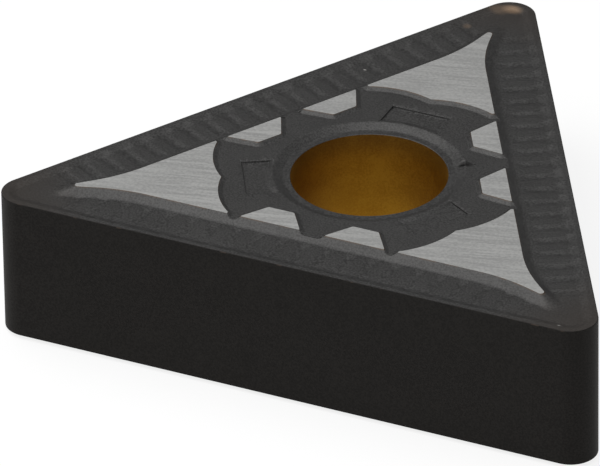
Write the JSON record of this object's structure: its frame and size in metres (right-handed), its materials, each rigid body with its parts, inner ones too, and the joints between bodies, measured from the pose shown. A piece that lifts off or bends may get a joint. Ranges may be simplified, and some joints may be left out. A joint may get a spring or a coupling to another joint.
{
  "type": "triangular carbide turning insert",
  "caption": "Double-sided triangular turning insert with a central bore, notched chip grooves, straight flanks and ground seating pads on both faces.",
  "frame": {"origin": "middle of the bore, halfway between the two faces", "axes": "+Z along the bore, square to both faces; one side's flank faces -Y, so one corner points along +Y and the other two along 210 and 330 degrees; X runs along the side that faces -Y"},
  "size_m": [0.0258, 0.0227, 0.0066],
  "materials": {
    "coated_carbide": "matte near-black coating on sintered carbide; seating pads ground back to silver; bore wall gold"
  },
  "bodies": {
    "root": {"insert_body": "coated_carbide"}
  },
  "joints": []
}
